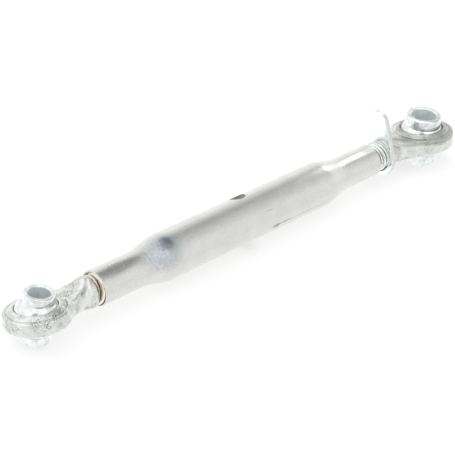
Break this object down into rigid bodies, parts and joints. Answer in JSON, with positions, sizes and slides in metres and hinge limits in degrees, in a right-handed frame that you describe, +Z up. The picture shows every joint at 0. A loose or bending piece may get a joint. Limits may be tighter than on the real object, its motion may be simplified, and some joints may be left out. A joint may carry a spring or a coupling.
{
  "type": "tractor top link",
  "caption": "Turnbuckle link for a tractor's three-point linkage: swaged centre tube, threaded rod ends with pin balls, lock nut plate with a handle.",
  "frame": {"origin": "centre of the small (category 1) ball", "axes": "+X along the link to the large ball, +Z up along the large ball's pin bore, +Y completes the frame"},
  "size_m": [0.5598, 0.067, 0.074],
  "materials": {
    "tube_zinc": "drawn steel tube, satin bright zinc plate",
    "forged_zinc": "rough drop forging, zinc-plated",
    "ball_zinc": "turned steel, bright zinc plate",
    "thread_zinc": "cut thread, straw-yellow passivated zinc",
    "plate_zinc": "pressed steel plate, bright bluish zinc"
  },
  "bodies": {
    "centre_tube": {"centre_tube": "tube_zinc"},
    "cat1_rod_end": {"cat1_eye": "forged_zinc", "cat1_spindle": "thread_zinc"},
    "cat2_rod_end": {"cat2_eye": "forged_zinc", "cat2_spindle": "thread_zinc"},
    "cat1_ball": {"cat1_ball": "ball_zinc"},
    "cat2_ball": {"cat2_ball": "ball_zinc"},
    "lock_handle": {"lock_handle": "plate_zinc"}
  },
  "joints": [
    {"name": "cat2_screw", "type": "slide", "parent": "centre_tube", "child": "cat2_rod_end", "axis": [1, 0, 0], "range_m": [-0.0055, 0.12]},
    {"name": "cat1_screw", "type": "slide", "parent": "centre_tube", "child": "cat1_rod_end", "axis": [-1, 0, 0], "range_m": [-0.0055, 0.12]},
    {"name": "cat1_ball_tilt", "type": "hinge", "parent": "cat1_rod_end", "child": "cat1_ball", "pos_m": [0, 0, 0], "axis": [0, 1, 0], "range_deg": [-23, 10]},
    {"name": "cat2_ball_tilt", "type": "hinge", "parent": "cat2_rod_end", "child": "cat2_ball", "pos_m": [0.498, 0, 0], "axis": [0, 1, 0], "range_deg": [-10.5, 10.5]},
    {"name": "lock_handle_turn", "type": "hinge", "parent": "cat2_rod_end", "child": "lock_handle", "pos_m": [0.43085, 0, 0], "axis": [1, 0, 0], "range_deg": [-860, 215]}
  ],
  "couplings": [
    {"joint": "cat1_screw", "follows": "cat2_screw", "ratio": 1}
  ]
}
